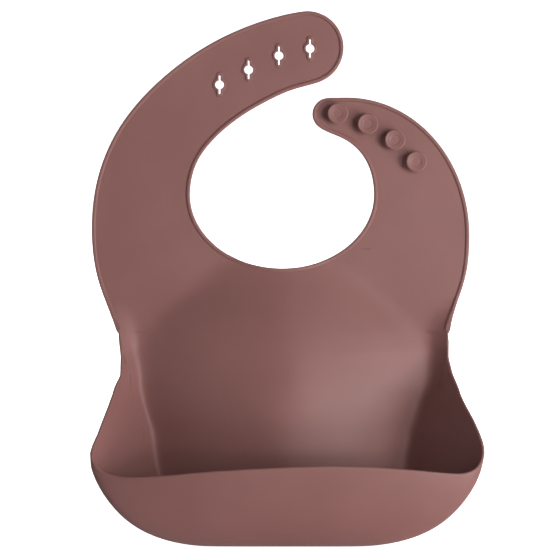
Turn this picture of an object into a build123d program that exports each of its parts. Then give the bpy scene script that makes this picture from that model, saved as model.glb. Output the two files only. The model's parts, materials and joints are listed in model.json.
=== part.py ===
from build123d import *
from math import cos, radians, sin
import os

# Silicone bib with a catch pocket, in millimetres.
# Origin: centre of the neck opening, on the back face of the flat sheet.
# +Z is up as worn, +X is to the right seen from the front, and the front faces -Y.

# Sheet and edge bead
sheetThick = 1.8
beadWidth = 2.2
beadHeight = 0.8
jointGap = 0.3  # clear space between two segments that flex against each other

# Neck opening and straps
neckRadiusX = 51.6
neckRadiusZ = 41.2
strapRootZ = -14.0  # both straps flex back here, at the shoulders
slottedBendZ = 42.0
buttonBendZ = 6.0
slottedTip = (14.0, 82.5)
slottedTipRadius = 20.5
slottedTipEnd = -73.3  # degrees round the tip where its arc meets the inner edge
buttonTip = (26.0, 45.3)
buttonTipRadius = 9.1
buttonTipStart = -123.5  # degrees round the tip where the inner edge meets its arc
buttonArcCentre = (36.5, -22.4)
buttonArcRadii = (68.4, 76.9)

# Keyholes and snap studs, as (x, z) on the straps
keyholes = [(-35.0, 61.7), (-18.7, 70.1), (-1.7, 78.0), (15.7, 82.0)]
keyholeRadius = 2.45
slitWidth = 0.95
slitLength = 10.6
surroundRadius = 3.85
surroundLobeRadius = 1.9
surroundLength = 14.0
surroundRise = 0.6
studs = [(30.9, 45.2), (47.7, 39.4), (62.8, 30.5), (74.8, 18.3)]
studHeadRadius = 5.8
studNeckRadius = 2.4
studHeight = 5.4
studHeadThick = 2.2
studRingWidth = 1.5
studRingDepth = 0.35
studChamfer = 0.6

# Waist and catch pocket
waistZ = -60.0  # the apron flexes forwards here, and the raised bead stops
sideStartZ = -88.0  # the narrowest level, where the side walls leave the flat sheet
pocketCentreX = 1.0
waistHalf = 91.4
lipZ = -147.0
troughTopZ = -168.0
panelBows = [(-88.0, 0.0), (-100.0, 4.0), (-120.0, 8.0), (-147.0, 8.0), (-168.0, 0.0)]
pocketFloorZ = -192.0
mouthDepth = 50.0  # front to back at the mouth's corners
mouthBow = 11.0  # how far the front wall bows out past its corners
mouthHalf = 101.9  # half the pocket's widest, just below the lip
lipDrop = 3.0  # how far below the lip the pocket starts to narrow
bottomPull = (6.0, 32.0, 42.0)  # how the seen outline rounds from its sides to the floor
frontPull = (4.0, 22.0)  # how the front wall rounds from the floor up to the lip
freeEdgeTop = -86.0  # the side walls' free edges start here and sweep down to the lip
freeEdgeBend = (-14.0, -104.0)
creaseTopHalf = 89.4  # half the width between the two creases, at the waist
creaseFloorHalf = 62.0  # the same, at the pocket floor
sideFlare = 0.625  # sideways lean of a side wall for each millimetre forward
cornerRadius = 10.0
troughRadius = 24.0
pocketSplitY = -30.0  # the front wall flexes about the floor here
wallThick = 1.6
cornerX = 75.0  # the front wall's corners start this far from the middle
creaseInset = 1.2  # the hollow's sides lean, so they are inset by a little more than the wall
far = 150.0  # past every edge of the bib
behind = 12.0  # the pocket is drawn on past the back of the sheet, then trimmed there


def onFront(face, depth):
    """Extrudes a face drawn as (x, z) forwards from the plane of the back face."""
    return extrude(Plane.XZ * face, amount=depth, dir=(0, -1, 0))


def strip(low, high):
    """A rectangle between two heights, for cutting the sheet into segments."""
    return Pos(0, (low + high) / 2) * Rectangle(2 * far, high - low)


def roundPoint(centre, radius, angle):
    """The point of a circle at an angle in degrees."""
    return (centre[0] + radius * cos(radians(angle)), centre[1] + radius * sin(radians(angle)))


def sheetEdge():
    """The free edge of the flat sheet, clockwise from the left side of the waist to the right."""
    leftWaist = (pocketCentreX - waistHalf, sideStartZ)
    rightWaist = (pocketCentreX + waistHalf, sideStartZ)
    leftWide = (-106.6, -19.6)
    tipTop = roundPoint(slottedTip, slottedTipRadius, 90)
    tipSide = roundPoint(slottedTip, slottedTipRadius, 0)
    tipUnder = roundPoint(slottedTip, slottedTipRadius, slottedTipEnd)
    buttonUnder = roundPoint(buttonTip, buttonTipRadius, buttonTipStart)
    buttonSide = roundPoint(buttonTip, buttonTipRadius, 180)
    buttonTop = roundPoint(buttonTip, buttonTipRadius, 90)
    arcTop = (buttonArcCentre[0], buttonArcCentre[1] + buttonArcRadii[1])
    rightWide = (buttonArcCentre[0] + buttonArcRadii[0], buttonArcCentre[1])
    return [
        Spline(
            leftWaist, (-94.7, -70.1), (-103.0, -47.7), leftWide, (-103.5, 8.4), (-91.9, 36.5),
            (-68.0, 64.5), (-35.8, 87.0), (-9.0, 98.0), tipTop, tangents=[(0, 1), (1, 0.1)],
        ),
        ThreePointArc(tipTop, tipSide, tipUnder),
        Spline(
            tipUnder, (5.8, 58.9), (-7.0, 53.3), (-25.7, 42.1), (-38.6, 30.9), (-47.0, 19.6),
            (-neckRadiusX, 0.0), tangents=[(-1, -0.3), (0, -1)],
        ),
        EllipticalCenterArc((0, 0), neckRadiusX, neckRadiusZ, start_angle=180, arc_size=180),
        Spline(
            (neckRadiusX, 0.0), (46.9, 19.6), (35.6, 30.9), buttonUnder,
            tangents=[(0, 1), (-0.834, 0.552)],
        ),
        ThreePointArc(buttonUnder, buttonSide, buttonTop),
        Line(buttonTop, arcTop),
        EllipticalCenterArc(buttonArcCentre, *buttonArcRadii, start_angle=90, arc_size=-90),
        Spline(
            rightWide, (102.3, -47.7), (94.9, -70.1), rightWaist, tangents=[(0, -1), (0, -1)],
        ),
    ]


def closedFace(edges):
    """The face inside a run of edges, closed by a straight line across the waist."""
    return make_face([*edges, Line(edges[-1] @ 1, edges[0] @ 0)])


def insetEdge(edges, inset):
    """The same run of edges, drawn again a fixed distance to its right, which is inwards."""
    shifted = []
    for edge in edges:
        stations = [step / 8 for step in range(9)]
        across = [Vector((edge % at).Y, -(edge % at).X) * inset for at in stations]
        points = [edge @ at + move for at, move in zip(stations, across)]
        if shifted:
            points[0] = shifted[-1] @ 1
        shifted.append(Spline(*points))
    return shifted


def beaded(face, field):
    """One flat segment of the sheet, with the field inside its raised edge bead sunk back."""
    sunk = Pos(0, -sheetThick, 0) * onFront(field, beadHeight + 1)
    return onFront(face, sheetThick + beadHeight) - sunk


def keyhole(x, z):
    """A round hole with a slit above and below it."""
    return Pos(x, z) * (Circle(keyholeRadius) + Rectangle(slitWidth, slitLength))


def surround(x, z):
    """The raised patch around a keyhole: a round with a smaller lobe at each end."""
    lobeZ = surroundLength / 2 - surroundLobeRadius
    patch = Circle(surroundRadius) + Pos(0, lobeZ) * Circle(surroundLobeRadius)
    return Pos(x, z) * (patch + Pos(0, -lobeZ) * Circle(surroundLobeRadius))


def stud(x, z):
    """A mushroom snap stud, turned about its own axis and standing out of the strap's front."""
    headFrom = studHeight - studHeadThick
    ringIn = studHeadRadius - studRingWidth
    dishZ = studHeight - studRingDepth
    profile = Polyline(
        (0, 0), (studNeckRadius, 0), (studNeckRadius, headFrom - studChamfer),
        (studHeadRadius - studChamfer, headFrom), (studHeadRadius, headFrom + studChamfer),
        (studHeadRadius - studChamfer, studHeight), (ringIn, studHeight),
        (ringIn - studRingDepth, dishZ), (0, dishZ), close=True,
    )
    turned = revolve(Plane.XZ * make_face(profile), Axis.Z, 360)
    return Pos(x, -sheetThick, z) * Rot(90, 0, 0) * turned


def bowedSection(z, half, bow, thick):
    """A level slice of the lower panel: straight at the back edges, bowed forwards in the middle."""
    left, right = pocketCentreX - half, pocketCentreX + half
    outline = [
        Bezier((left, -thick, z), (pocketCentreX, -thick - 2 * bow, z), (right, -thick, z)),
        Line((right, -thick, z), (right, 0, z)),
        Bezier((right, 0, z), (pocketCentreX, -2 * bow, z), (left, 0, z)),
        Line((left, 0, z), (left, -thick, z)),
    ]
    return make_face(outline)


def creaseHalf(z):
    """Half the width between the creases at a height; they run straight down and inwards."""
    along = (waistZ - z) / (waistZ - pocketFloorZ)
    return creaseTopHalf + (creaseFloorHalf - creaseTopHalf) * along


def pocketPlan(z, inset):
    """A level slice of the pocket: creases at the back, flared sides, bowed front."""
    half = creaseHalf(z) - inset * creaseInset
    depth = mouthDepth - inset
    front = half + sideFlare * mouthDepth
    back = half - sideFlare * behind
    outline = [
        Line((-back, behind), (back, behind)),
        Line((back, behind), (front, -depth)),
        ThreePointArc((front, -depth), (0, -depth - mouthBow), (-front, -depth)),
        Line((-front, -depth), (-back, behind)),
    ]
    face = make_face(outline)
    corners = face.vertices().sort_by(Axis.Y)[:2]
    face = fillet(corners, cornerRadius - inset)
    return Pos(pocketCentreX, 0, z) * face


def pocketBlock(inset):
    """The pocket's outside when inset is nothing, and its hollow when inset is the wall."""
    floor = pocketFloorZ + inset
    top = waistZ - 2
    tall = loft([pocketPlan(waistZ - 4, inset), pocketPlan(pocketFloorZ - 2, inset)], ruled=True)

    # Seen from the side: straight back, round trough, floor sweeping up to the upright front
    frontY = -mouthDepth - mouthBow + inset
    troughY = -inset - troughRadius
    troughMiddle = roundPoint((troughY, floor + troughRadius), troughRadius, -45)
    side = make_face([
        Line((-inset, top), (-inset, floor + troughRadius)),
        ThreePointArc((-inset, floor + troughRadius), troughMiddle, (troughY, floor)),
        Bezier(
            (troughY, floor), (frontY + frontPull[0], floor),
            (frontY, lipZ - frontPull[1]), (frontY, lipZ),
        ),
        Line((frontY, lipZ), (frontY, top)),
        Line((frontY, top), (-inset, top)),
    ])
    sideways = extrude(Plane.YZ * side, amount=far, both=True)

    # Seen from the front: upright sides that round in to the floor
    half = mouthHalf - inset
    below = lipZ - lipDrop
    sidePull, dropPull, floorPull = bottomPull
    seen = make_face([
        Line((-far, top), (far, top)),
        Line((far, top), (far, below)),
        Line((far, below), (half, below)),
        Bezier((half, below), (half - sidePull, below - dropPull), (half - floorPull, floor), (0, floor)),
        Bezier((0, floor), (floorPull - half, floor), (sidePull - half, below - dropPull), (-half, below)),
        Line((-half, below), (-far, below)),
        Line((-far, below), (-far, top)),
    ])
    forwards = Pos(pocketCentreX, 0, 0) * extrude(Plane.XZ * seen, amount=far, both=True)
    return tall & sideways & forwards


def freeEdgeCut():
    """Everything above the pocket's rim: the lip in front and the side walls' free edges."""
    corner = -mouthDepth - 2
    rim = make_face([
        Line((0.0, freeEdgeTop), (far, freeEdgeTop)),
        Line((far, freeEdgeTop), (far, 0.0)),
        Line((far, 0.0), (-far, 0.0)),
        Line((-far, 0.0), (-far, lipZ)),
        Line((-far, lipZ), (corner, lipZ)),
        Bezier((corner, lipZ), (corner + 6, lipZ + 2), freeEdgeBend, (0.0, freeEdgeTop)),
    ])
    return extrude(Plane.YZ * rim, amount=far, both=True)


def slab(lowY, highY, lowZ, highZ, lowX=-far, highX=far):
    """A plain block between limits, for cutting the pocket into its pieces."""
    middle = Pos((lowX + highX) / 2, (lowY + highY) / 2, (lowZ + highZ) / 2)
    return middle * Box(highX - lowX, highY - lowY, highZ - lowZ)


def creaseColumn():
    """The room between the two creases, which the lower panel fills."""
    ends = []
    for z in (waistZ, pocketFloorZ):
        ends.append(Pos(pocketCentreX, -2.0, z) * Rectangle(2 * creaseHalf(z), 24.0))
    return loft(ends, ruled=True)


# The flat sheet, cut where it flexes
outline = closedFace(sheetEdge())
field = closedFace(insetEdge(sheetEdge(), beadWidth))
chest = outline & strip(waistZ + jointGap, strapRootZ)
straps = outline & strip(strapRootZ + jointGap, far)
slottedStrap, buttonStrap = straps.faces().sort_by(Axis.X)

nodes = {}
nodes["chest_panel"] = beaded(chest, field)
nodes["slotted_strap"] = beaded(slottedStrap & strip(strapRootZ, slottedBendZ), field)
nodes["button_strap"] = beaded(buttonStrap & strip(strapRootZ, buttonBendZ), field)
nodes["button_strap_end"] = beaded(buttonStrap & strip(buttonBendZ + jointGap, far), field)
slottedEnd = beaded(slottedStrap & strip(slottedBendZ + jointGap, far), field)
for number, (x, z) in enumerate(keyholes, start=1):
    patch = surround(x, z)
    slottedEnd -= onFront(patch, sheetThick)
    hole = onFront(keyhole(x, z), sheetThick + surroundRise)
    nodes[f"keyhole_surround_{number}"] = onFront(patch, sheetThick + surroundRise) - hole
nodes["slotted_strap_end"] = slottedEnd
for number, (x, z) in enumerate(studs, start=1):
    nodes[f"snap_stud_{number}"] = stud(x, z)

# The apron below the waist: flat where it meets the chest, then bowed forwards above the pocket
bowed = loft([bowedSection(z, creaseHalf(z), bow, sheetThick) for z, bow in panelBows])
nodes["lower_panel"] = onFront(outline & strip(sideStartZ, waistZ), sheetThick) + bowed

# The pocket: one shell, cut into the trough, the side walls and the front wall that flexes
shell = pocketBlock(0.0) - pocketBlock(wallThick) - freeEdgeCut()
rear = shell & slab(pocketSplitY, far, -2 * far, sideStartZ)
sides = (rear & slab(-far, far, troughTopZ, sideStartZ)) - creaseColumn()
front = shell & slab(-far, pocketSplitY - jointGap, -2 * far, sideStartZ)
leftCornerX, rightCornerX = pocketCentreX - cornerX, pocketCentreX + cornerX
nodes["pocket_trough"] = rear & slab(-far, far, -2 * far, troughTopZ)
nodes["left_side_wall"] = sides & slab(-far, far, -2 * far, 0, highX=0)
nodes["right_side_wall"] = sides & slab(-far, far, -2 * far, 0, lowX=0)
nodes["pocket_front_wall"] = front & slab(-far, far, -2 * far, 0, leftCornerX, rightCornerX)
nodes["left_pocket_corner"] = front & slab(-far, far, -2 * far, 0, highX=leftCornerX)
nodes["right_pocket_corner"] = front & slab(-far, far, -2 * far, 0, lowX=rightCornerX)

os.makedirs("parts", exist_ok=True)
for name, shape in nodes.items():
    export_step(shape, f"parts/{name}.step")
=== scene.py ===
import json
import bmesh
import bpy
import numpy as np
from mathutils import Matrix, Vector


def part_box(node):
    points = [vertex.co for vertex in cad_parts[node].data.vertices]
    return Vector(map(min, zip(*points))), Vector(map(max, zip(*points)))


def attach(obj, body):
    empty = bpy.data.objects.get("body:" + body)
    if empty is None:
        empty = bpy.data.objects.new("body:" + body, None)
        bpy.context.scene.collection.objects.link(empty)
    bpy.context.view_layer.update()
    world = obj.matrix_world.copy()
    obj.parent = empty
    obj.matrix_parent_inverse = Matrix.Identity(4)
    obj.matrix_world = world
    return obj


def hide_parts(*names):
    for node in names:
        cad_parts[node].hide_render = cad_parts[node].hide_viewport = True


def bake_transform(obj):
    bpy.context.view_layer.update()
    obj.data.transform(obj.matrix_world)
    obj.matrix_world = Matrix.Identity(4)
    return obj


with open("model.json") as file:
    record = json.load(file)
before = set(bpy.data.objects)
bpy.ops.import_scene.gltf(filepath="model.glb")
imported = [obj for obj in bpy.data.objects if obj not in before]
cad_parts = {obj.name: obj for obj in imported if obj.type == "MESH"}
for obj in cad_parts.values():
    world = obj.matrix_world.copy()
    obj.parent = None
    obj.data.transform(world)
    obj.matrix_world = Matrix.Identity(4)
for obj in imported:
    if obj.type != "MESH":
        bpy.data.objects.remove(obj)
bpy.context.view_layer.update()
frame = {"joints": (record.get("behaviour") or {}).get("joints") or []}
mm = 0.001  # lengths below are in millimetres, and meshes are in metres
print("frame loaded")


# numbers read from the frame


# Lowest and highest corner of a CAD node, in millimetres.
def boxOf(node):
    low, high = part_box(node)
    return np.array(low) / mm, np.array(high) / mm


# Centre of a CAD node's box, in millimetres.
def middleOf(node):
    low, high = boxOf(node)
    return (low + high) / 2


jointAt = {joint["name"]: np.array(joint["pos_m"]) / mm for joint in frame["joints"]}
waistZ = jointAt["waist_flex"][2]
shoulderZ = jointAt["slotted_strap_flex"][2]
slottedBendZ = jointAt["slotted_end_flex"][2]
buttonBendZ = jointAt["button_end_flex"][2]
floorZ = jointAt["pocket_open"][2]

sheet = {"thick": 1.8, "tuck": 0.7, "beadStep": 1.2}  # tuck: how far the sheet stops short of its outline
cuts = {  # heights where one piece ends and the next begins, each inside a stretch that stays rigid
    "apron": waistZ - 17.0,
    "chest": shoulderZ - 16.0,
    "slotted": (shoulderZ + slottedBendZ) / 2,
    "button": (shoulderZ + buttonBendZ) / 2 + 1.0,
}


# curves


# Cubic spline through points, with its end directions given: the second derivatives are solved from the
# usual band matrix.
def splineThrough(points, count, startDir, endDir):
    points = np.array(points, float)
    gaps = np.linalg.norm(np.diff(points, axis=0), axis=1)
    knots = np.concatenate([[0], np.cumsum(gaps)])
    n = len(points)
    band = np.zeros((n, n))
    right = np.zeros((n, 2))
    slopes = np.diff(points, axis=0) / gaps[:, None]
    inner = np.arange(1, n - 1)
    band[inner, inner - 1] = gaps[:-1]
    band[inner, inner] = 2 * (gaps[:-1] + gaps[1:])
    band[inner, inner + 1] = gaps[1:]
    right[inner] = 6 * (slopes[1:] - slopes[:-1])
    startDir = np.array(startDir, float) / np.linalg.norm(startDir)
    endDir = np.array(endDir, float) / np.linalg.norm(endDir)
    band[0, :2] = [2 * gaps[0], gaps[0]]
    right[0] = 6 * (slopes[0] - startDir)
    band[-1, -2:] = [gaps[-1], 2 * gaps[-1]]
    right[-1] = 6 * (endDir - slopes[-1])
    bend = np.linalg.solve(band, right)
    at = np.linspace(0, knots[-1], count)
    k = np.clip(np.searchsorted(knots, at) - 1, 0, n - 2)
    h, lo, hi = gaps[k][:, None], (at - knots[k])[:, None], (knots[k + 1] - at)[:, None]
    return (
        (bend[k] * hi**3 + bend[k + 1] * lo**3) / (6 * h)
        + (points[k] / h - bend[k] * h / 6) * hi
        + (points[k + 1] / h - bend[k + 1] * h / 6) * lo
    )


# Stretch of an ellipse: centre plus radii times the cosine and sine of the angle.
def arc(centre, radii, startDeg, endDeg, count=60):
    angle = np.radians(np.linspace(startDeg, endDeg, count))
    return np.stack([centre[0] + radii[0] * np.cos(angle), centre[1] + radii[1] * np.sin(angle)], axis=1)


# The same line with its points evenly spaced along its length.
def evenly(line, step):
    run = np.concatenate([[0], np.cumsum(np.linalg.norm(np.diff(line, axis=0), axis=1))])
    at = np.linspace(0, run[-1], int(run[-1] / step) + 1)
    return np.stack([np.interp(at, run, line[:, axis]) for axis in range(line.shape[1])], axis=1)


# The line blurred along itself by a bell curve of that reach in points, with its ends held.
def softened(line, reach):
    span = int(4 * reach)
    bell = np.exp(-0.5 * (np.arange(-span, span + 1) / reach) ** 2)
    bell /= bell.sum()
    before = 2 * line[0] - line[span:0:-1]
    after = 2 * line[-1] - line[-2:-span - 2:-1]
    padded = np.concatenate([before, line, after])
    return np.stack([np.convolve(padded[:, axis], bell, "valid") for axis in range(line.shape[1])], axis=1)


outlineShape = {
    "step": 0.5,
    "leftSide": [(-90.4, -88.0), (-94.7, -70.1), (-103.0, -47.7), (-106.6, -19.6), (-103.5, 8.4),
                 (-91.9, 36.5), (-68.0, 64.5), (-35.8, 87.0), (-9.0, 98.0)],
    "slottedTip": (14.0, 82.5), "slottedTipRadius": 20.5,
    "innerLeft": [(5.8, 58.9), (-7.0, 53.3), (-25.7, 42.1), (-38.6, 30.9), (-47.0, 19.6)],
    "neckRadii": (51.6, 41.2),
    "innerRight": [(46.9, 19.6), (35.6, 30.9)],
    "buttonTip": (26.0, 45.3), "buttonTipRadius": 9.1,
    "buttonArc": (36.5, -22.4), "buttonArcRadii": (68.4, 76.9),
    "rightSide": [(102.3, -47.7), (94.9, -70.1), (92.4, -88.0)],
}


# The sheet's free edge, clockwise from the left of the waist over both strap tips to the right of the waist.
def collarOutline():
    o = outlineShape
    tip, tipR = np.array(o["slottedTip"]), o["slottedTipRadius"]
    small, smallR = np.array(o["buttonTip"]), o["buttonTipRadius"]
    neckX, neckZ = o["neckRadii"]
    tipUnder = tip + tipR * np.array([0.287, -0.958])
    smallUnder = small + smallR * np.array([-0.552, -0.834])
    arcTop = (o["buttonArc"][0], o["buttonArc"][1] + o["buttonArcRadii"][1])
    wide = (o["buttonArc"][0] + o["buttonArcRadii"][0], o["buttonArc"][1])
    parts = [
        splineThrough(o["leftSide"] + [tuple(tip + (0, tipR))], 400, (0, 1), (1, 0.1)),
        arc(tip, (tipR, tipR), 90, -73.3),
        splineThrough([tuple(tipUnder)] + o["innerLeft"] + [(-neckX, 0)], 240, (-1, -0.3), (0, -1)),
        arc((0, 0), (neckX, neckZ), 180, 360, 160),
        splineThrough([(neckX, 0)] + o["innerRight"] + [tuple(smallUnder)], 120, (0, 1), (-0.834, 0.552)),
        arc(small, (smallR, smallR), -123.5, -270),
        np.array([small + (0, smallR), arcTop]),
        arc(o["buttonArc"], o["buttonArcRadii"], 90, 0, 160),
        splineThrough([wide] + o["rightSide"], 120, (0, -1), (0, -1)),
    ]
    return softened(evenly(np.concatenate(parts), outlineShape["step"]), 3.0)


outline = collarOutline()
run = np.arange(len(outline)) * outlineShape["step"]
along = np.gradient(outline, axis=0)
along /= np.linalg.norm(along, axis=1)[:, None]
inwards = np.stack([along[:, 1], -along[:, 0]], axis=1)
tipAt = run[np.argmax(outline[:, 0] * (outline[:, 1] > 70) - 1e3 * (outline[:, 1] <= 70))]
neckLowAt = run[np.argmin(np.where(np.abs(outline[:, 0]) < 20, outline[:, 1], 1e3))]
smallTipAt = run[np.argmin(np.where((outline[:, 1] > 40) & (run > neckLowAt), outline[:, 0], 1e3))]
stretches = {  # where each side of the outline starts and ends, as distances along it
    "outerLeft": (0.0, tipAt), "innerLeft": (tipAt, neckLowAt),
    "innerRight": (neckLowAt, smallTipAt), "outerRight": (smallTipAt, run[-1]),
}


# How far along the outline a stretch, moved inwards by inset, passes a height on its way up.
def distanceAt(stretch, height, inset=0.0):
    start, end = stretches[stretch]
    inside = (run >= start) & (run <= end)
    at, z = run[inside], (outline + inwards * inset)[inside, 1]
    if stretch in ("innerLeft", "outerRight"):
        at, z = at[::-1], z[::-1]
    top = np.argmax(z)
    return float(np.interp(height, z[: top + 1], at[: top + 1]))


# Points of the outline at given distances along it, moved inwards by inset.
def edgeAt(distance, inset=0.0):
    columns = [np.interp(distance, run, (outline + inwards * inset)[:, axis]) for axis in range(2)]
    return np.stack(columns, axis=-1)


# pocket and chest
cup = {
    "centre": 1.8, "spread": 64.8, "inset": 1.05, "edge": 10.0, "wall": 1.6,
    "lipZ": -147.0, "bow": 12.0, "bowPower": 3.0,  # the lip, and how the front wall bows between its ends
    "spineX": 0.0, "spineHalf": 36.0, "spineY": -35.0,  # the line along the floor that the trough turns about
    "sag": 0.3, "flare": 0.145, "sharp": 2.8, "soft": 5.6,  # blur at the creases, at the front
    "creaseZ": [-165.0, -147.0, -132.0, -124.0, -107.7, -92.6, -88.0],
    "creaseX": [69.6, 70.2, 72.4, 75.2, 80.4, 82.4, 83.2],
    "shiftZ": [-165.0, -150.0, -124.0, -114.0, -107.0, -101.0, -92.0],
    "shiftX": [-2.3, -2.3, -2.0, -1.7, -0.8, 0.0, -0.6],
    "skewZ": [-165.0, -150.0, -141.0, -132.0, -123.0, -114.0, -105.0, -90.0],
    "skew": [0.02, 0.02, 0.035, 0.072, 0.085, 0.08, 0.04, 0.0],
    "foldZ": [-165.0, -141.0, -132.0, -118.0, -110.0, -98.0, -88.0, -78.0, -70.0, -64.0, -58.0],
    "foldDeg": [55.0, 55.2, 56.0, 58.0, 58.0, 54.0, 47.0, 33.0, 17.0, 6.0, 0.0],
    "rimAt": [0.0, 23.0, 46.0, 67.0, 84.0, 94.0, 99.0, 104.0, 109.0, 118.0, 131.0, 141.0, 153.0, 159.2,
              160.0],
    "rimLeft": [-147.2, -148.4, -150.0, -152.2, -153.3, -152.7, -151.2, -148.2, -142.5, -132.0, -120.0,
                -112.0, -101.0, -90.0, -77.0],
    "rimRight": [-147.2, -146.4, -147.2, -148.8, -150.6, -151.4, -150.8, -148.4, -142.5, -132.0, -120.0,
                 -112.0, -101.0, -90.0, -77.0],
}
fine = {"front": 108, "side": 62, "panel": 142}  # fine cells along a level slice, about a millimetre each
stripWide = cup["edge"] * cup["spread"] / fine["side"]  # strip beside each crease, in millimetres


# Nought to one with level ends: 3 s squared less 2 s cubed.
def smoothStep(share):
    share = np.clip(share, 0, 1)
    return share * share * (3 - 2 * share)


ridge = {  # flank slope, roundings, dome and the arch that bounds it
    "tilt": 0.17, "round": 12.0, "dome": 13.0, "domeZ": (-22.0, -135.0), "archTop": -13.5,
    "archSpread": 1.3, "archMelt": 6.0, "melt": 5.0, "settle": 15.0, "reach": 1.6, "startZ": -24.0,
    "startFade": 14.0,
}


# Larger of a value and nought, with the corner rounded: half of the value plus the root of its square plus
# the reach squared.
def rise(value, reach):
    return (value + np.sqrt(value**2 + reach**2)) / 2


# How far the sheet stands forwards: a ridge with straight flanks plus a shallow dome, inside an arch that
# widens downwards until it meets the limit.
def bulgeAt(x, z, limit=200.0):
    half = rise((ridge["archTop"] - z) * ridge["archSpread"], ridge["archMelt"])
    half = limit - rise(limit - half, ridge["settle"])
    half = np.maximum(half, 1.0)
    flank = ridge["tilt"] * rise(half - np.sqrt(x**2 + ridge["round"] ** 2), ridge["melt"])
    top, low = ridge["domeZ"]
    dome = ridge["dome"] * smoothStep((top - z) / (top - low)) * rise(1 - (x / half) ** 2, 0.12)
    inside = np.abs(x) < half * ridge["reach"]
    return np.where(inside, flank + dome, 0.0) * smoothStep((ridge["startZ"] - z) / ridge["startFade"])


# Angle, in radians, that the strip beside each crease is folded forwards at a height.
def foldAt(z):
    return np.radians(np.interp(z, cup["foldZ"], cup["foldDeg"]))


# meshes


# One object from closed shells, each (points, quads): welded, turned outwards, smooth under forty degrees.
def meshFrom(name, shells, material):
    points, quads, offset = [], [], 0
    for shellPoints, shellQuads in shells:
        points.append(shellPoints)
        quads.append(shellQuads + offset)
        offset += len(shellPoints)
    mesh = bpy.data.meshes.new(name)
    mesh.from_pydata((np.concatenate(points) * mm).tolist(), [], np.concatenate(quads).tolist())
    work = bmesh.new()
    work.from_mesh(mesh)
    bmesh.ops.remove_doubles(work, verts=work.verts, dist=2e-6)
    bmesh.ops.dissolve_degenerate(work, dist=1e-6, edges=work.edges)
    bmesh.ops.recalc_face_normals(work, faces=work.faces)
    work.to_mesh(mesh)
    work.free()
    mesh.shade_smooth()
    mesh.set_sharp_from_angle(angle=np.radians(40))
    mesh.materials.append(material)
    piece = bpy.data.objects.new(name, mesh)
    bpy.context.scene.collection.objects.link(piece)
    return piece


# Corner numbers of the quads of a grid whose columns may wrap round.
def gridQuads(rows, columns, wrap):
    last = columns if wrap else columns - 1
    r, c = np.meshgrid(np.arange(rows - 1), np.arange(last), indexing="ij")
    d = (c + 1) % columns
    low, high = r * columns, (r + 1) * columns
    return np.stack([low + c, low + d, high + d, high + c], -1).reshape(-1, 4)


# Closed shell through a stack of rings: quads between neighbours, each end closed by pairing its halves.
def sleeve(rings):
    rows, around = rings.shape[:2]
    half = np.arange(around // 2 - 1)
    cap = np.stack([half, half + 1, around - 2 - half, around - 1 - half], -1)
    quads = np.concatenate([gridQuads(rows, around, True), cap, cap + (rows - 1) * around])
    return rings.reshape(-1, 3), quads


# Flat sheet between two edge lines of equal count: straight rows of points, front and back, as one shell.
def flatSlab(left, right, cells):
    share = np.linspace(0, 1, cells + 1)[None, :, None]
    level = left[:, None] * (1 - share) + right[:, None] * share
    front = np.insert(level, 1, -sheet["thick"], axis=2)
    back = np.insert(level, 1, 0.0, axis=2)
    return sleeve(np.concatenate([front, back[:, ::-1]], axis=1))


beadProfile = np.array([  # across from the free edge, and forwards from the back of the sheet
    (0.75, 0.0), (0.35, 0.02), (0.1, 0.15), (0.0, 0.4), (0.0, 1.2), (0.0, 1.95), (0.07, 2.25), (0.27, 2.48),
    (0.6, 2.6), (1.1, 2.62), (1.55, 2.58), (1.9, 2.4), (2.12, 2.1), (2.3, 1.84), (2.6, 1.6), (1.6, 0.6),
])


# The raised bead between two distances along the outline: one profile carried along it, faded by height.
def bead(start, end, fadeFrom=None, fadeTo=None):
    count = max(int(abs(end - start) / sheet["beadStep"]), 4) + 1
    at = np.linspace(start, end, count)
    centre = edgeAt(at)
    inward = np.stack([np.interp(at, run, inwards[:, axis]) for axis in range(2)], axis=-1)
    inward /= np.linalg.norm(inward, axis=1)[:, None]
    height = np.ones(count)
    if fadeFrom is not None:
        height = smoothStep((centre[:, 1] - fadeTo) / (fadeFrom - fadeTo))
    deep = beadProfile[:, 1][None, :]
    over = np.clip(deep - sheet["thick"] + 0.1, 0, None)
    deep = deep - over * (1 - height[:, None]) * 1.05
    side = smoothStep((np.abs(centre[:, 0]) - 80.0) / 8.0)  # one at the bib's sides, nought at the neck
    forwards = bulgeAt(centre[:, 0], centre[:, 1]) + side * stripWide * np.sin(foldAt(centre[:, 1]))
    flat = centre[:, None] + inward[:, None] * beadProfile[:, 0][None, :, None]
    return sleeve(np.insert(flat, 1, -deep - forwards[:, None], axis=2))


# silicone


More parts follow.
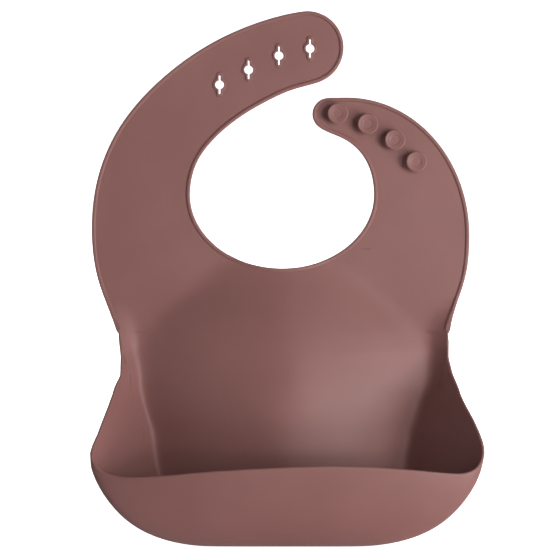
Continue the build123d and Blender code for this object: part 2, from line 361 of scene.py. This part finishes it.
# Moulded silicone: a matte base colour with faint mottling, fine mould texture, soft sheen of dust.
def silicone(name, tone):
    material = bpy.data.materials.new(name)
    material.use_nodes = True
    nodes, links = material.node_tree.nodes, material.node_tree.links
    shader = nodes["Principled BSDF"]
    place = nodes.new("ShaderNodeTexCoord")

    def noise(scale, detail):
        made = nodes.new("ShaderNodeTexNoise")
        made.inputs["Scale"].default_value = scale
        made.inputs["Detail"].default_value = detail
        links.new(place.outputs["Object"], made.inputs["Vector"])
        return made

    def span(source, low, high):
        made = nodes.new("ShaderNodeMapRange")
        made.inputs["To Min"].default_value = low
        made.inputs["To Max"].default_value = high
        links.new(source.outputs["Fac"], made.inputs["Value"])
        return made

    cloud = noise(tone["mottleScale"], 3.0)
    ramp = nodes.new("ShaderNodeValToRGB")
    ramp.color_ramp.elements[0].position = 0.35
    ramp.color_ramp.elements[1].position = 0.65
    ramp.color_ramp.elements[0].color = (*tone["dark"], 1)
    ramp.color_ramp.elements[1].color = (*tone["light"], 1)
    links.new(cloud.outputs["Fac"], ramp.inputs["Fac"])
    links.new(ramp.outputs["Color"], shader.inputs["Base Color"])
    links.new(span(noise(220, 2), *tone["roughness"]).outputs["Result"], shader.inputs["Roughness"])
    grain = nodes.new("ShaderNodeBump")
    grain.inputs["Strength"].default_value = tone["grain"]
    grain.inputs["Distance"].default_value = 0.00012
    links.new(noise(tone["grainScale"], 4).outputs["Fac"], grain.inputs["Height"])
    links.new(grain.outputs["Normal"], shader.inputs["Normal"])
    shader.inputs["Sheen Weight"].default_value = tone["sheen"]
    shader.inputs["Sheen Roughness"].default_value = 0.55
    shader.inputs["Sheen Tint"].default_value = (0.75, 0.55, 0.52, 1)
    shader.inputs["Specular IOR Level"].default_value = 0.5
    shader.inputs["IOR"].default_value = 1.42
    shader.inputs["Subsurface Weight"].default_value = 0.08
    shader.inputs["Subsurface Radius"].default_value = (0.004, 0.0018, 0.0014)
    shader.inputs["Subsurface Scale"].default_value = 1.0
    return material


mauve = {"dark": (0.212, 0.090, 0.082), "light": (0.232, 0.101, 0.092), "mottleScale": 18.0,
         "roughness": (0.5, 0.58), "grain": 0.35, "grainScale": 900.0, "sheen": 0.2}
sheetSilicone = silicone("mauveSilicone", mauve)
studSilicone = silicone("studSilicone", {**mauve, "roughness": (0.44, 0.52), "grain": 0.2})

# straps
strapCells = {"across": 26, "shoulder": 24, "slotted": 96, "button": 60}


# Sheet between the outer and inner edges from one height to another, in level rows.
def shoulderSlab(outerName, innerName, low, high, rows, cells):
    levels = np.linspace(low, high, rows)
    outer = np.array([distanceAt(outerName, z, sheet["tuck"]) for z in levels])
    inner = np.array([distanceAt(innerName, z, sheet["tuck"]) for z in levels])
    return flatSlab(edgeAt(outer, sheet["tuck"]), edgeAt(inner, sheet["tuck"]), cells)


# Sheet of a strap's end: points run evenly up both edges to the tip, and straight rows join them in pairs.
def tipSlab(outerName, innerName, low, tip, rows, cells):
    share = np.linspace(0, 1, rows)
    outer = distanceAt(outerName, low, sheet["tuck"]) * (1 - share) + tip * share
    inner = distanceAt(innerName, low, sheet["tuck"]) * (1 - share) + tip * share
    return flatSlab(edgeAt(outer, sheet["tuck"]), edgeAt(inner, sheet["tuck"]), cells)


at, across = distanceAt, strapCells["across"]
leftShoulder = meshFrom("leftShoulder", [
    shoulderSlab("outerLeft", "innerLeft", cuts["chest"], cuts["slotted"], strapCells["shoulder"], across),
    bead(at("outerLeft", cuts["chest"]), at("outerLeft", cuts["slotted"])),
    bead(at("innerLeft", cuts["chest"]), at("innerLeft", cuts["slotted"])),
], sheetSilicone)
slottedTip = meshFrom("slottedStrap", [
    tipSlab("outerLeft", "innerLeft", cuts["slotted"], tipAt, strapCells["slotted"], across),
], sheetSilicone)
slottedBead = meshFrom("slottedStrapBead", [
    bead(at("outerLeft", cuts["slotted"]), at("innerLeft", cuts["slotted"])),
], sheetSilicone)
rightShoulder = meshFrom("rightShoulder", [
    shoulderSlab("outerRight", "innerRight", cuts["chest"], cuts["button"], strapCells["shoulder"], across),
    bead(at("outerRight", cuts["chest"]), at("outerRight", cuts["button"])),
    bead(at("innerRight", cuts["chest"]), at("innerRight", cuts["button"])),
], sheetSilicone)
buttonTip = meshFrom("buttonStrap", [
    tipSlab("outerRight", "innerRight", cuts["button"], smallTipAt, strapCells["button"], across),
    bead(at("innerRight", cuts["button"]), at("outerRight", cuts["button"])),
], sheetSilicone)
print("straps made")


# Half-width of the flat sheet at heights, from the outline on one side.
def sideX(levels, sign):
    stretch = "outerLeft" if sign < 0 else "outerRight"
    distances = np.array([distanceAt(stretch, z) for z in np.clip(levels, -87.9, 90)])
    return sign * (edgeAt(distances)[:, 0] - cup["centre"])


# Closed rings of points blurred along themselves: their waves damped by a bell curve of that reach.
def blurred(rings, reach):
    waves = np.fft.fftfreq(rings.shape[1]) * 2 * np.pi
    bell = np.exp(-0.5 * (waves * reach) ** 2)[None, :, None]
    return np.real(np.fft.ifft(np.fft.fft(rings, axis=1) * bell, axis=1))


# Closed level slices of the bib: front wall, side, bowed panel, side, front wall, with blurred corners.
def levelSlices(levels):
    zs = np.asarray(levels, float)
    fold = foldAt(zs)
    low = np.interp(zs, cup["creaseZ"], cup["creaseX"])
    shift = np.interp(zs, cup["shiftZ"], cup["shiftX"])
    skew = np.interp(zs, cup["skewZ"], cup["skew"])[:, None]
    share = smoothStep((zs + 92.0) / 8.0)
    crease = {}
    for sign in (-1, 1):
        high = sideX(zs, sign) - cup["inset"] - stripWide * np.cos(fold)
        crease[sign] = (low + sign * shift) * (1 - share) + high * share
    outwards = np.linspace(0, 1, fine["side"] + 1)[None, :]
    sides = {}
    for sign in (-1, 1):
        spread = cup["spread"] * (1 + sign * skew) * outwards
        out = crease[sign][:, None] + spread * np.cos(fold)[:, None]
        forwards = sheet["thick"] / 2 + spread * np.sin(fold)[:, None]
        sides[sign] = np.stack([cup["centre"] + sign * out, -forwards], -1)
    c = np.linspace(1, -1, fine["panel"] + 1)[None, :]
    x = cup["centre"] + c * np.where(c > 0, crease[1][:, None], crease[-1][:, None])
    limit = np.where(c > 0, crease[1][:, None] + cup["centre"], crease[-1][:, None] - cup["centre"])
    panel = np.stack([x, -sheet["thick"] / 2 - bulgeAt(x, zs[:, None], limit)], -1)
    f = np.linspace(0, 1, fine["front"] + 1)[None, :, None]
    tip, tipLeft = sides[1][:, -1:], sides[-1][:, -1:]
    middle = (tip + tipLeft) / 2
    bow = np.concatenate([np.zeros_like(f), -cup["bow"] * (1 - f ** cup["bowPower"])], -1)
    frontRight = middle * (1 - f) + tip * f + bow
    frontLeft = middle * (1 - f) + tipLeft * f + bow
    ring = np.concatenate([
        frontRight[:, :-1], sides[1][:, :0:-1], panel[:, :-1], sides[-1][:, :-1], frontLeft[:, :0:-1],
    ], axis=1)
    step = np.arange(ring.shape[1])
    fromFront = np.minimum(step, ring.shape[1] - step)
    crisp = smoothStep((fromFront - fine["front"] - 12.0) / 30.0)[None, :, None]
    return blurred(ring, cup["soft"]) * (1 - crisp) + blurred(ring, cup["sharp"]) * crisp


# Where the mesh columns stand on a slice, in fine cells from the front's middle: closer by the waist.
def columnPlaces():
    front = np.linspace(0, fine["front"], 55)
    edge = fine["side"] - cup["edge"]
    side = fine["front"] + edge * (1 - (1 - np.linspace(0, 1, 28)[1:]) ** 1.5)
    strip = fine["front"] + edge + np.linspace(0, cup["edge"], stripColumns + 1)[1:]
    panel = fine["front"] + fine["side"] + np.linspace(0, fine["panel"], 71)[1:]
    half = np.concatenate([front, side, strip])
    return np.concatenate([half, panel[:-1], total - half[:0:-1]]), len(half) - 1


stripColumns = 6
total = 2 * (fine["front"] + fine["side"]) + fine["panel"]
places, creaseColumn = columnPlaces()
columns = len(places)
edgeColumn = creaseColumn - stripColumns  # the column that runs up the free edge of the flat sheet


# Points of the slices at fractional places round them.
def pick(slices, where):
    lower = np.floor(where).astype(int)
    part = (where - lower)[None, :, None]
    return slices[:, lower % total] * (1 - part) + slices[:, (lower + 1) % total] * part


# Points of a table of levels at a fractional level for each column.
def lift(table, rowAt):
    lower = np.clip(np.floor(rowAt).astype(int), 0, len(table) - 2)
    part = (rowAt - lower)[..., None]
    column = np.broadcast_to(np.arange(table.shape[1]), rowAt.shape)
    return table[lower, column] * (1 - part) + table[lower + 1, column] * part


troughRows, wallRows = 40, 71
turn = np.linspace(0, np.pi / 2, troughRows)
wallZ = np.linspace(cup["lipZ"], cuts["apron"], wallRows)
walls = pick(levelSlices(wallZ), places)
mouth = walls[0]
step = np.arange(columns)
frontHalf = 61  # columns from the front's middle to the pocket's end, where the floor's ridge line turns back
pairs = columns // 2
fromEnd = np.minimum((step - frontHalf) % columns, (frontHalf - step) % columns)
spineX = cup["spineX"] + cup["spineHalf"] * np.cos(np.pi * fromEnd / pairs)
spine = np.stack([spineX, np.full(columns, cup["spineY"])], -1)
deep = cup["lipZ"] - (floorZ - cup["sag"] + cup["wall"] / 2)
swell = np.sin(turn) - cup["flare"] * np.cos(turn) * np.sin(turn) ** 4
trough = spine[None] + (mouth - spine)[None] * swell[:, None, None]
troughZ = np.broadcast_to((cup["lipZ"] - deep * np.cos(turn))[:, None], trough.shape[:2])
upperZ = np.broadcast_to(wallZ[1:, None, None], walls[1:].shape[:2] + (1,))
cupTable = np.concatenate([
    np.concatenate([trough, troughZ[..., None]], -1),
    np.concatenate([walls[1:], upperZ], -1),
])
print("pocket slices made:", len(cupTable), "levels of", columns, "columns")

# rim height of each column, the level it stands for, and rows spaced evenly up the wall to it
cells = np.arange(total)
rightRim = np.interp(cells, cup["rimAt"], cup["rimRight"])
leftRim = np.interp(total - cells, cup["rimAt"], cup["rimLeft"])
rim = np.where(cells < total / 2, rightRim, leftRim)
even = 1 - smoothStep((np.minimum(cells, total - cells) - 140.0) / 15.0)
rim = rim * (1 - even) + blurred(rim[None, :, None], 3.0)[0, :, 0] * even
rimZ = np.interp(places, np.append(cells, total), np.append(rim, rim[0]))
levelOfZ = np.concatenate([cup["lipZ"] - deep * np.cos(turn), wallZ[1:]])
topLevel = np.interp(rimZ, levelOfZ, np.arange(len(levelOfZ)))
gaps = np.linalg.norm(np.diff(cupTable, axis=0), axis=2)
climb = np.concatenate([np.zeros((1, columns)), np.cumsum(gaps, axis=0)])
pocketRows = 66
share = np.append(np.linspace(0, 1, pocketRows - 1), 0.997)
share.sort()
levelNumber = np.arange(len(levelOfZ))
levels = np.stack([
    np.interp(share * np.interp(top, levelNumber, way), way, levelNumber)
    for top, way in zip(topLevel, climb.T)
], axis=1)
cupMid = lift(cupTable, levels)


# Unit normals of a grid: the cross product of its two directions.
def normalsOf(grid, wrap):
    if wrap:
        wide = np.concatenate([grid[:, -1:], grid, grid[:, :1]], axis=1)
        across = (wide[:, 2:] - wide[:, :-2]) / 2
    else:
        across = np.gradient(grid, axis=1)
    up = np.gradient(grid, axis=0)
    normal = np.cross(across, up)
    return normal / np.maximum(np.linalg.norm(normal, axis=2), 1e-9)[..., None]


cupNormal = normalsOf(cupMid, True)
cupNormal[0] = (0, 0, np.sign(cupNormal[3, 0, 2]))  # along the spine the floor is level


# Half a ring of points from one face of the sheet to the other, pushed outwards.
def rounded(first, last, outward, bulge, count=5):
    angle = np.linspace(0, np.pi, count + 2)[1:-1]
    middle, half = (first + last) / 2, (first - last) / 2
    reach = np.linalg.norm(half, axis=-1, keepdims=True)
    steps = [middle + half * np.cos(a) + outward * reach * bulge * np.sin(a) for a in angle]
    return np.stack(steps, axis=0)


inner = cupMid + cupNormal * cup["wall"] / 2
outer = cupMid - cupNormal * cup["wall"] / 2
rimAlong = np.roll(cupMid[-1], -1, axis=0) - np.roll(cupMid[-1], 1, axis=0)
rimDir = np.cross(rimAlong, cupNormal[-1])
rimDir *= np.sign(np.sum(rimDir * (cupMid[-1] - cupMid[-3]), axis=1))[:, None]
rimDir /= np.linalg.norm(rimDir, axis=1)[:, None]
free = (rimZ < cuts["apron"] - 0.5).astype(float)[:, None]
rimRing = rounded(inner[-1], outer[-1], rimDir, free)
cupRings = np.concatenate([inner, rimRing, outer[::-1]])
cupQuads = gridQuads(len(cupRings), columns, True)
pocket = meshFrom("catchPocket", [(cupRings.reshape(-1, 3), cupQuads)], sheetSilicone)
print("pocket made")

# chest
chestRows, chestLevelCount = 34, 60
chestZ = np.linspace(cuts["apron"], cuts["chest"], chestLevelCount)
chestPlaces = places[edgeColumn: columns - edgeColumn + 1]
chestSlices = pick(levelSlices(chestZ), chestPlaces)
chestHeights = np.broadcast_to(chestZ[:, None, None], chestSlices.shape[:2] + (1,))
chestTable = np.concatenate([chestSlices, chestHeights], -1)
chestNumber = np.arange(chestLevelCount)
neckX, neckZ = outlineShape["neckRadii"]
top = np.full(len(chestPlaces), cuts["chest"])
for repeat in range(6):  # the top follows the neck opening: found again from each column's own x
    x = lift(chestTable, np.interp(top, chestZ, chestNumber)[None])[0, :, 0]
    inside = np.clip(1 - (x / (neckX + sheet["tuck"])) ** 2, 0, 1)
    top = np.minimum(cuts["chest"], -(neckZ + sheet["tuck"]) * np.sqrt(inside))
chestShare = np.append(0.006, np.linspace(0, 1, chestRows - 1))
chestShare.sort()
chestShare = chestShare[:, None]
chestLevels = np.interp(chestZ[0] * (1 - chestShare) + top[None] * chestShare, chestZ, chestNumber)
chestMid = lift(chestTable, chestLevels)
chestNormal = normalsOf(chestMid, False)
chestNormal *= -np.sign(chestNormal[-1, 40, 1])
thicken = smoothStep((chestMid[..., 2] + 77) / 20)[..., None]  # from the wall's thickness to the sheet's
thickNow = cup["wall"] + (sheet["thick"] - cup["wall"]) * thicken
chestFront = chestMid + chestNormal * thickNow / 2
chestBack = chestMid - chestNormal * thickNow / 2


# Unit direction from one column of a grid to another.
def sideways(grid, first, second):
    way = grid[:, first] - grid[:, second]
    return way / np.linalg.norm(way, axis=1)[:, None]


rightRound = rounded(chestFront[:, 0], chestBack[:, 0], sideways(chestMid, 0, 1), 1.0).swapaxes(0, 1)
leftRound = rounded(chestFront[:, -1], chestBack[:, -1], sideways(chestMid, -1, -2), 1.0).swapaxes(0, 1)
chestRings = np.concatenate([chestFront[:, ::-1], rightRound, chestBack, leftRound[:, ::-1]], axis=1)
fadeTop, fadeEnd = waistZ - 2.0, waistZ - 16.0
chest = meshFrom("chestPanel", [
    sleeve(chestRings),
    bead(at("outerLeft", -76.0), at("outerLeft", cuts["chest"]), fadeTop, fadeEnd),
    bead(at("outerRight", -76.0), at("outerRight", cuts["chest"]), fadeTop, fadeEnd),
], sheetSilicone)
neckBead = meshFrom("necklineBead", [
    bead(at("innerLeft", cuts["chest"]), at("innerRight", cuts["chest"])),
], sheetSilicone)
print("chest made")

# keyholes and studs
keyhole = {
    "hole": 2.45, "slit": 0.475, "slitEnd": 5.3,  # radius, half-width of the slit and its end from the centre
    "round": 3.85, "lobe": 1.9, "lobeAt": 5.1, "rise": 0.6,  # the raised patch round them
}


# A quarter of a round with a narrow tab on top: up the round, up the tab's side, then round its end.
def quarterOutline(radius, narrow, reach, count=14):
    join = np.arcsin(min(narrow / radius, 1.0))
    swing = np.linspace(0, np.pi / 2 - join, count)
    body = np.stack([radius * np.cos(swing), radius * np.sin(swing)], -1)
    climb = np.linspace(body[-1, 1], reach - narrow, count // 2 + 1)[1:]
    tab = np.stack([np.full(len(climb), narrow), climb], -1)
    end = np.linspace(0, np.pi / 2, 7)[1:]
    cap = np.stack([narrow * np.cos(end), reach - narrow + narrow * np.sin(end)], -1)
    return np.concatenate([body, tab, cap])


# The quarter mirrored into a closed ring.
def fullOutline(quarter):
    upper = np.concatenate([quarter, (quarter * (-1, 1))[-2::-1]])
    return np.concatenate([upper, (upper * (1, -1))[-2:0:-1]])


holeRing = fullOutline(quarterOutline(keyhole["hole"], keyhole["slit"], keyhole["slitEnd"]))
lobeEnd = keyhole["lobeAt"] + keyhole["lobe"]
patchRing = fullOutline(quarterOutline(keyhole["round"], keyhole["lobe"], lobeEnd))


# A raised patch with its keyhole: the two outlines mixed at several heights, closed behind.
def surroundShell(centre):
    top = sheet["thick"] + keyhole["rise"]
    steps = [  # share from hole to patch edge, and how far forwards
        (0.0, 0.02), (0.0, top - 0.3), (0.03, top - 0.1), (0.1, top), (0.7, top), (0.86, top - 0.06),
        (0.95, top - 0.2), (1.0, top - 0.42), (1.02, sheet["thick"] - 0.1), (0.9, sheet["thick"] - 0.5),
        (0.8, 0.02),
    ]
    rings = []
    for share, forwards in steps:
        flat = holeRing * (1 - share) + patchRing * share + (centre[0], centre[2])
        rings.append(np.insert(flat, 1, -forwards, axis=1))
    rings = np.array(rings)
    count = rings.shape[1]
    quads = gridQuads(len(rings), count, True)
    closing = np.stack([np.arange(count), (np.arange(count) + 1) % count], -1)
    base = (len(rings) - 1) * count
    seam = np.stack([closing[:, 0], closing[:, 1], closing[:, 1] + base, closing[:, 0] + base], -1)
    return rings.reshape(-1, 3), np.concatenate([quads, seam])


# A prism a little inside the raised patch, to open the strap behind it.
def cutter(centre):
    flat = holeRing * 0.1 + patchRing * 0.9 + (centre[0], centre[2])
    low, high = np.insert(flat, 1, -sheet["thick"] - 3, axis=1), np.insert(flat, 1, 3, axis=1)
    count = len(flat)
    mesh = bpy.data.meshes.new("cutter")
    side = np.arange(count)
    walls = np.stack([side, (side + 1) % count, (side + 1) % count + count, side + count], -1).tolist()
    ends = [list(range(count))[::-1], list(range(count, 2 * count))]
    mesh.from_pydata((np.concatenate([low, high]) * mm).tolist(), [], walls + ends)
    work = bmesh.new()
    work.from_mesh(mesh)
    bmesh.ops.recalc_face_normals(work, faces=work.faces)
    work.to_mesh(mesh)
    work.free()
    return bpy.data.objects.new("cutter", mesh)


surrounds = [f"keyhole_surround_{number}" for number in range(1, 5)]
for number, node in enumerate(surrounds, start=1):
    centre = middleOf(node)
    patch = meshFrom(f"keyholeSurround{number}", [surroundShell(centre)], sheetSilicone)
    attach(patch, "slotted_end")
    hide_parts(node)
    tool = cutter(centre)
    bpy.context.scene.collection.objects.link(tool)
    modifier = slottedTip.modifiers.new("opening", "BOOLEAN")
    modifier.object = tool
    modifier.operation = "DIFFERENCE"
    modifier.solver = "EXACT"
    bpy.context.view_layer.update()
    opened = bpy.data.meshes.new_from_object(slottedTip.evaluated_get(bpy.context.evaluated_depsgraph_get()))
    slottedTip.modifiers.clear()
    slottedTip.data = opened
    bpy.data.objects.remove(tool)
print("keyholes made")

studShape = {"neck": 2.4, "head": 5.8, "height": 5.4, "dimple": 0.34, "turns": 64}


# A mushroom stud turned about its axis: neck, flat head with a rounded border, and a shallow round dimple.
def studShell(centre):
    n, h, t = studShape["neck"], studShape["head"], studShape["height"]
    ring = studShape["dimple"]
    profile = np.array([
        (0.0, -0.6), (n + 0.5, -0.6), (n + 0.35, 0.1), (n, 0.6), (n, t - 3.0),  # neck
        (n + 0.4, t - 2.5), (h - 0.9, t - 2.25), (h - 0.25, t - 2.0), (h, t - 1.5), (h, t - 0.6),  # head
        (h - 0.12, t - 0.25), (h - 0.4, t - 0.05), (h - 0.75, t), (h - 1.0, t - 0.06), (h - 1.15, t - 0.12),
        (h - 2.7, t - 0.12), (h - 2.85, t - 0.14), (h - 3.05, t - ring), (h - 3.3, t - ring - 0.04),  # dimple
        (h - 4.4, t - ring - 0.04), (0.0, t - ring - 0.04),
    ])
    angle = np.linspace(0, 2 * np.pi, studShape["turns"], endpoint=False)[None, :]
    x = centre[0] + profile[:, :1] * np.cos(angle)
    z = centre[2] + profile[:, :1] * np.sin(angle)
    y = np.broadcast_to(-sheet["thick"] - profile[:, 1:], x.shape)
    rings = np.stack([x, y, z], -1)
    return rings.reshape(-1, 3), gridQuads(len(profile), studShape["turns"], True)


for number in range(1, 5):
    node = f"snap_stud_{number}"
    piece = meshFrom(f"snapStud{number}", [studShell(middleOf(node))], studSilicone)
    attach(piece, "button_end")
    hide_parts(node)
print("studs made")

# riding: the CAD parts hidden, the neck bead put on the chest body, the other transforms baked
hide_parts("chest_panel", "lower_panel")
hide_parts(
    "pocket_trough", "left_side_wall", "right_side_wall", "pocket_front_wall", "left_pocket_corner",
    "right_pocket_corner",
)
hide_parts("slotted_strap")
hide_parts("slotted_strap_end")
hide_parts("button_strap")
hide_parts("button_strap_end")
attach(neckBead, "chest")


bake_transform(chest)
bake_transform(leftShoulder)
for piece in (slottedTip, slottedBead):
    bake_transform(piece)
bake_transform(rightShoulder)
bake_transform(buttonTip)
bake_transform(pocket)  # clear of the ridge

# stage
stageShape = {"reach": 2.2, "bend": 0.9, "height": 4.5, "glow": 0.008}


# Round floor that bends up into a wall all round: a profile turned about the upright axis.
def cove():
    r, b, h = stageShape["reach"], stageShape["bend"], stageShape["height"]
    swing = np.linspace(0, np.pi / 2, 16)
    radius = np.concatenate([[0.0, 0.5, 1.2], r - b + b * np.sin(swing), [r]])
    height = np.concatenate([[0.0, 0.0, 0.0], b - b * np.cos(swing), [h]])
    angle = np.linspace(0, 2 * np.pi, 96, endpoint=False)[None, :]
    x, y = radius[:, None] * np.cos(angle), radius[:, None] * np.sin(angle)
    z = np.broadcast_to(height[:, None] + floorZ * mm - 0.0006, x.shape)
    points = np.stack([x, y, z], -1).reshape(-1, 3)
    mesh = bpy.data.meshes.new("cove")
    mesh.from_pydata(points.tolist(), [], gridQuads(len(radius), 96, True).tolist())
    work = bmesh.new()
    work.from_mesh(mesh)
    bmesh.ops.remove_doubles(work, verts=work.verts, dist=1e-6)
    bmesh.ops.dissolve_degenerate(work, dist=1e-6, edges=work.edges)
    work.to_mesh(mesh)
    work.free()
    mesh.shade_smooth()
    piece = bpy.data.objects.new("cove", mesh)
    bpy.context.scene.collection.objects.link(piece)
    return piece


whitePaper = bpy.data.materials.new("whitePaper")
whitePaper.use_nodes = True
paperNodes, paperLinks = whitePaper.node_tree.nodes, whitePaper.node_tree.links
paperShader = paperNodes["Principled BSDF"]
paperShader.inputs["Base Color"].default_value = (0.85, 0.85, 0.85, 1)
paperShader.inputs["Roughness"].default_value = 0.9
paperShader.inputs["Specular IOR Level"].default_value = 0.0
paperShader.inputs["Emission Color"].default_value = (1, 1, 1, 1)
rays = paperNodes.new("ShaderNodeLightPath")
glow = paperNodes.new("ShaderNodeMapRange")
glow.inputs["To Min"].default_value = stageShape["glow"]  # the paper is white to the eye and lights little
glow.inputs["To Max"].default_value = 1.0
paperLinks.new(rays.outputs["Is Camera Ray"], glow.inputs["Value"])
paperLinks.new(glow.outputs["Result"], paperShader.inputs["Emission Strength"])
backdrop = cove()
backdrop.data.materials.append(whitePaper)
backdrop.visible_shadow = False  # the key light is low, and the paper doesn't hold it back

world = bpy.data.worlds.new("studio")
bpy.context.scene.world = world
world.use_nodes = True
world.node_tree.nodes["Background"].inputs["Color"].default_value = (1, 1, 1, 1)
world.node_tree.nodes["Background"].inputs["Strength"].default_value = 0.01


studio = {  # direction round from the front and up from level in degrees, distance and size in metres, watts
    "key": (37.0, 2.0, 1.4, 0.6, 11.5),
    "low": (52.0, -17.0, 1.4, 0.6, 11.5),
    "back": (165.0, 20.0, 1.7, 1.2, 13.0),
}


# Square area light at an angle and distance from the bib's middle, facing it.
def softLight(name, azimuth, elevation, distance, size, power):
    turn, tilt = np.radians(azimuth), np.radians(elevation)
    aim = Vector((0, 0, waistZ * mm))
    way = Vector((np.sin(turn) * np.cos(tilt), -np.cos(turn) * np.cos(tilt), np.sin(tilt)))
    light = bpy.data.lights.new(name, "AREA")
    light.size = size
    light.energy = power
    lamp = bpy.data.objects.new(name, light)
    lamp.location = aim + way * distance
    lamp.rotation_euler = way.to_track_quat("Z", "Y").to_euler()
    bpy.context.scene.collection.objects.link(lamp)


for name, settings in studio.items():
    softLight(f"{name}Light", *settings)

# camera
lens = {"distance": 1.1, "x": -0.038, "z": -0.0477, "aimX": -0.0011, "viewWidth": 0.31416}
camera = bpy.data.objects.new("camera", bpy.data.cameras.new("camera"))
bpy.context.scene.collection.objects.link(camera)
camera.data.sensor_width = 36.0
camera.data.lens = 36.0 * lens["distance"] / lens["viewWidth"]
camera.location = (lens["x"], -lens["distance"], lens["z"])
camera.rotation_euler = (np.pi / 2, 0, 0)
camera.data.shift_x = (lens["aimX"] - lens["x"]) / lens["viewWidth"]
camera.data.clip_start, camera.data.clip_end = 0.01, 30.0
bpy.context.scene.camera = camera
bpy.context.scene.view_settings.view_transform = "Standard"
print("stage and camera set")
